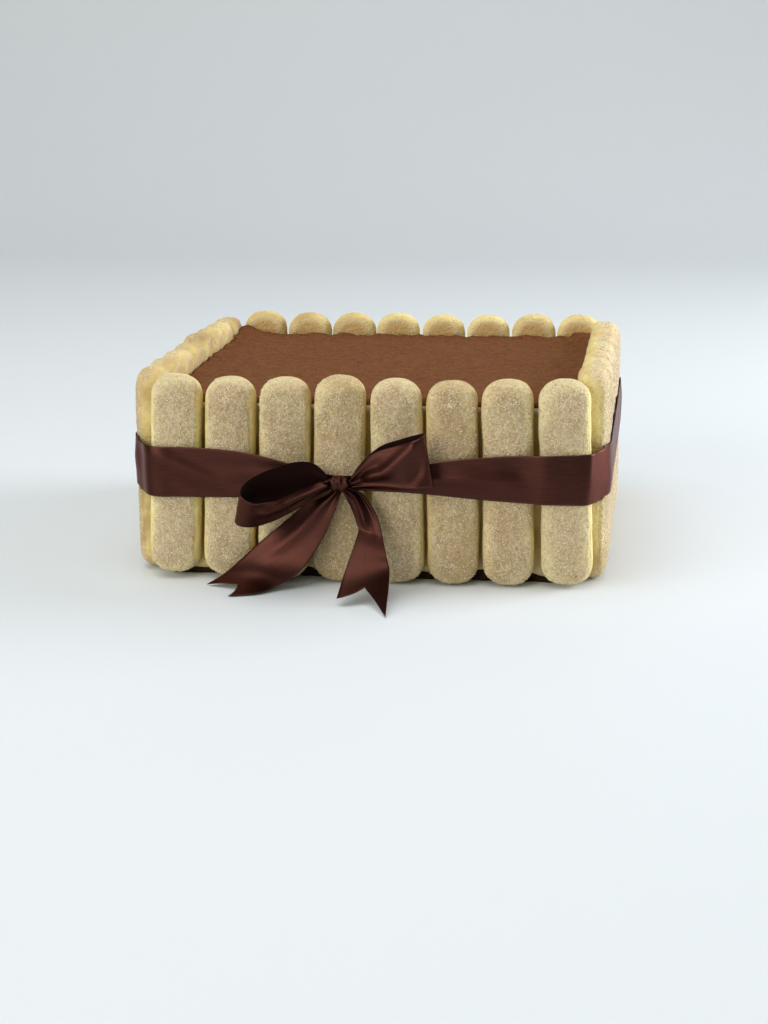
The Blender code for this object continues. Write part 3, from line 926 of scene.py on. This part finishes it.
def band_route():
    """Plan points of the ribbon round the biscuits, evenly spaced, with their outward normals."""
    plan = []
    for name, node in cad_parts.items():
        if name.startswith("ladyfinger"):
            plan += [v.co.xy for v in node.data.vertices if BAND_LOWEST < v.co.z < BAND_HIGHEST]
    hull = [Vector(plan[index]) for index in convex_hull_2d(plan)]
    area = sum(a.x * b.y - b.x * a.y for a, b in zip(hull, hull[1:] + hull[:1]))
    if area < 0:
        hull.reverse()
    loop = np.array(hull + hull[:1])
    run = run_along(loop)
    steps = round(run[-1] / BAND_STEP)
    at = np.linspace(0, run[-1], steps, endpoint=False)
    path = np.column_stack([np.interp(at, run, loop[:, k]) for k in (0, 1)])
    for _ in range(BAND_SOFTENING):
        path = softened(path)
    forward = np.roll(path, -1, 0) - np.roll(path, 1, 0)
    out = np.column_stack([forward[:, 1], -forward[:, 0]])
    out /= np.linalg.norm(out, axis=1, keepdims=True)
    reach = (out @ loop.T).max(axis=1) - (path * out).sum(axis=1)
    path += out * reach[:, None]
    for _ in range(BAND_SMOOTHING):
        path = softened(path)
        out = softened(out)
    return path, out / np.linalg.norm(out, axis=1, keepdims=True)


def band_folds(x, level):
    """A soft slanting fold left of the bow, a long one right of it and one by each corner,
    in mm."""
    left = math.exp(-((x - LEFT_FOLD_X) / (24 * MM)) ** 2)
    slant = (level - BAND_HEIGHT) + (x - LEFT_FOLD_X) * 0.45
    right = math.exp(-((x - RIGHT_FOLD_X) / (26 * MM)) ** 2)
    middle = (level - BAND_HEIGHT + 2 * MM) + (x - RIGHT_FOLD_X) * 0.05
    corner = math.exp(-((x - CORNER_FOLD_RIGHT_X) / (8 * MM)) ** 2)
    corner += 0.8 * math.exp(-((x - CORNER_FOLD_LEFT_X) / (6 * MM)) ** 2)
    return (
        LEFT_FOLD * left * np.exp(-((slant / (5.0 * MM)) ** 2))
        + RIGHT_FOLD * right * np.exp(-((middle / (4.5 * MM)) ** 2))
        + CORNER_FOLD * corner
    )


def ribbon_band(material):
    """The ribbon round the cake, gathered at the knot."""
    path, out = band_route()
    lanes = np.linspace(0, 1, BAND_LANES)
    rows = []
    for point, normal in zip(path, out):
        on_front = point[1] < -CORE_SIDE / 2
        low, high = band_section(point[0], on_front)
        gather = 0.0
        if on_front:
            aside = point[0] - KNOT.x
            reach = PLEAT_REACH_LEFT if aside < 0 else PLEAT_REACH_RIGHT
            gather = math.exp(-(abs(aside) / reach) ** 1.4)
        level = low + (high - low) * lanes
        place = np.column_stack([np.tile(point, (BAND_LANES, 1)), level])
        wander = 0.6 * math.sin(point[0] / (17 * MM))
        pleats = 0.5 + 0.5 * np.sin(2 * np.pi * (2.2 * lanes + 0.15) + wander)
        lift = BAND_STAND_OFF + pleats * gather * BAND_PLEAT_LIFT
        slanted = place * (1, 1, 0.5)
        slanted[:, 0] += place[:, 2] * 0.7
        creases = 0.5 + 0.5 * noise(slanted, 13 * MM, 51)
        lift += creases * BAND_CREASE_LIFT * np.sin(np.pi * lanes)
        if point[0] > CORNER_START and point[1] < -CORNER_START:
            along = (point[0] + point[1]) / math.sqrt(2) / MM
            past_crest = along - CORNER_CREASE_FOOT - CORNER_CREASE_SLANT * lanes
            lift += CORNER_CREASE * MM * np.exp(-((past_crest / CORNER_CREASE_WIDTH) ** 2))
        if on_front:
            lift += band_folds(point[0], level) * MM
        place[:, :2] += normal * lift[:, None]
        rows.append(place)
    made = cloth_object("satin_band", np.stack(rows), material, -1, closed=True)
    dress(made, "ribbon_band")


def strip_grid(strip):
    """The strip's surface as a grid, evenly spaced along its middle, with its notch cut in."""
    first = curve_through(strip.upper, 14) * MM
    second = curve_through(strip.lower, 14) * MM
    run = run_along((first + second) / 2)
    rows = int(run[-1] / STRIP_STEP)
    lanes = np.linspace(0, 1, STRIP_LANES)
    grid = np.zeros((rows + 1, STRIP_LANES, 3))
    along = np.zeros((rows + 1, STRIP_LANES))
    for column, lane in enumerate(lanes):
        cut = strip.notch * (1 - abs(2 * lane - 1))
        at = np.linspace(0, run[-1] * (1 - cut), rows + 1)
        edge = first * (1 - lane) + second * lane
        for axis in range(3):
            grid[:, column, axis] = np.interp(at, run, edge[:, axis])
        along[:, column] = at / run[-1]
    return grid, along, lanes, run[-1]


def bow_strip(strip, shape, material):
    """One loop or tail: shape(along, across) gives how far each point stands off the plain
    strip along its normal and how far it moves to the front, in mm."""
    grid, along, lanes, length = strip_grid(strip)
    normal = grid_normals(grid, False)
    lift, forward = shape(along, np.broadcast_to(lanes, along.shape))
    grid = grid + normal * (lift * MM)[:, :, None]
    grid[:, :, 1] -= forward * MM
    made = cloth_object("satin_" + strip.name, grid, material, strip.face_side)
    dress(made, strip.name)


def ridge(along, across, start, end, width):
    """A fold's crest on a line between two places (along, across) of the strip."""
    share = np.clip((along - start[0]) / (end[0] - start[0]), 0, 1)
    line = start[1] + (end[1] - start[1]) * share
    return np.exp(-(((across - line) / width) ** 2))


def pleats_at_knot(along, across, waves, phase, both_ends):
    """Pleats that the knot squeezes into the strip's ends."""
    gather = np.exp(-((along / 0.15) ** 1.4))
    if both_ends:
        gather = gather + np.exp(-(((1 - along) / 0.19) ** 1.4))
    return np.sin(2 * np.pi * waves * across + phase) * gather


def left_loop_shape(along, across):
    """The front half's upper edge rolls inwards."""
    lift = 1.0 * pleats_at_knot(along, across, 2.2, 0.8, True)
    front_half = window(along, 0.66, 0.93, 0.08)
    turned_in = np.clip(1 - across / 0.42, 0, 1) ** 1.5
    rolled = np.clip(1 - across / 0.7, 0, 1) * window(along, 0.75, 0.86, 0.08)
    crest = ridge(along, across, (0.62, 0.42), (0.95, 0.45), 0.12)
    return lift, (1.2 * crest - 6.5 * turned_in) * front_half - 4.5 * rolled


def right_loop_shape(along, across):
    """A crest and a hollow slant over the front half."""
    lift = 0.9 * pleats_at_knot(along, across, 2.2, 2.2, True)
    front_half = window(along, 0.58, 0.86, 0.07)
    crest = 2.8 * ridge(along, across, (0.52, 0.02), (0.80, 0.62), 0.17)
    hollow = -1.6 * ridge(along, across, (0.52, 0.42), (0.66, 0.95), 0.2)
    return lift, (crest + hollow) * front_half


def left_tail_shape(along, across):
    """A soft belly with a fold that runs out of the knot."""
    lift = 1.1 * pleats_at_knot(along, across, 1.7, 0.5, False)
    belly = 0.9 * np.sin(np.pi * across) * np.sin(np.pi * along)
    fold = ridge(along, across, (0.1, 0.5), (0.6, 0.3), 0.15) * window(along, 0.1, 0.5, 0.2)
    return lift, belly + fold


def right_tail_shape(along, across):
    """Deep pleats and a sharp fold under the knot, nearly flat below."""
    lift = 2.0 * pleats_at_knot(along, across, 2.6, 2.0, False)
    fold = 2.2 * ridge(along, across, (0.0, 0.45), (0.4, 0.35), 0.13)
    fold = fold * window(along, 0.04, 0.26, 0.1)
    return lift, fold + 0.5 * np.sin(np.pi * across) * np.sin(np.pi * along)


def bow_knot(material):
    """The knot: a turn of ribbon pulled tight over the loops, with the folds running over it."""
    rows, columns = 40, 56
    polar = np.linspace(0.05, np.pi - 0.05, rows)
    round_it = np.linspace(0, 2 * np.pi, columns, endpoint=False)
    p, r = np.meshgrid(polar, round_it, indexing="ij")
    unit = np.stack([np.cos(p), -np.sin(p) * np.cos(r), np.sin(p) * np.sin(r)], -1)
    folds = 0.10 * np.sin(unit[..., 0] * 9.0 + 1.3 * np.sin(r + 0.7)) * np.sin(p)
    swell = 1 + folds + 0.05 * np.sin(r * 2 + 1.0)
    cube = np.maximum(np.abs(unit).max(-1, keepdims=True), 0.6)
    shape = unit / cube ** 0.35 * swell[..., None]
    grid = shape * np.array(KNOT_SIZE) * 0.48 + np.array(KNOT)
    flat = grid.reshape(-1, 3)
    faces = quads(rows, columns, True)
    faces.append(tuple(range(columns))[::-1])
    faces.append(tuple(range((rows - 1) * columns, rows * columns)))
    made = mesh_object("satin_bow_knot", flat, faces, material)
    uv = []
    for face in made.data.polygons:
        for corner in face.vertices:
            row, column = divmod(corner, columns)
            uv += (0.03 * column / columns, RIBBON_WIDTH * (0.1 + 0.8 * row / (rows - 1)))
    made.data.uv_layers.new(name="cloth").data.foreach_set("uv", uv)
    dress(made, "bow_knot")


def camera():
    """The camera at the photograph's viewing angle."""
    data = bpy.data.cameras.new("camera")
    data.lens = CAMERA_LENS
    data.sensor_width = 36
    data.clip_start = 0.05
    data.clip_end = 20
    made = new_object("camera", data)
    made.location = CAMERA_PLACE
    look = CAMERA_FORWARD.to_track_quat("-Z", "Y").to_matrix()
    made.rotation_euler = (look @ Matrix.Rotation(-CAMERA_ROLL, 3, "Z")).to_euler()
    bpy.context.scene.camera = made


def soft_box(name, place, target, size, power, colour):
    """A rectangular soft light that points at its target."""
    data = bpy.data.lights.new(name, "AREA")
    data.shape = "RECTANGLE"
    data.size, data.size_y = size
    data.energy = power
    data.color = colour
    made = new_object(name, data)
    made.location = place
    made.rotation_euler = (Vector(target) - Vector(place)).to_track_quat("-Z", "Y").to_euler()
    made.visible_camera = False


def studio():
    """A pale floor that curves up into a backdrop, soft light all round and from the right."""
    profile = [(-FLOOR_REACH, 0.0), (BACKDROP_PLACE, 0.0)]
    for bend in np.linspace(0, np.pi / 2, 12)[1:]:
        y = BACKDROP_PLACE + BACKDROP_BEND * math.sin(bend)
        profile.append((y, BACKDROP_BEND - BACKDROP_BEND * math.cos(bend)))
    profile.append((BACKDROP_PLACE + BACKDROP_BEND, BACKDROP_HEIGHT))
    points = [(x, y, z) for y, z in profile for x in (-FLOOR_REACH, FLOOR_REACH)]
    floor = mesh_object("floor", points, quads(len(profile), 2, False), floor_material())
    world = bpy.data.worlds.new("room")
    world.use_nodes = True
    background = world.node_tree.nodes["Background"]
    background.inputs["Color"].default_value = ROOM_COLOUR
    background.inputs["Strength"].default_value = ROOM_STRENGTH
    bpy.context.scene.world = world
    for box in SOFT_BOXES:
        soft_box(*box)
    bpy.context.scene.view_settings.view_transform = "Standard"


def main():
    camera()
    biscuit, satin = biscuit_material(), satin_material()
    spots = []
    for seed, (name, *shape) in enumerate(finger_places()):
        spots += ladyfinger(name, *shape, seed, biscuit)
    sugar_grains(spots, sugar_material())
    walled_block(
        "cream_filling", 36, soak_line, level_at(CREAM_TOP), cream_push, cream_material(),
        "cake_cream",
    )
    walled_block(
        "soaked_layer", 6, level_at(0), soak_line, base_push, soaked_and_shaded_material(),
        "cake_base",
    )
    cocoa_top(cocoa_material())
    bow_knot(satin)
    ribbon_band(satin)
    for strip, shape in (
        (LEFT_LOOP, left_loop_shape), (RIGHT_LOOP, right_loop_shape),
        (LEFT_TAIL, left_tail_shape), (RIGHT_TAIL, right_tail_shape),
    ):
        bow_strip(strip, shape, satin)
    studio()


main()
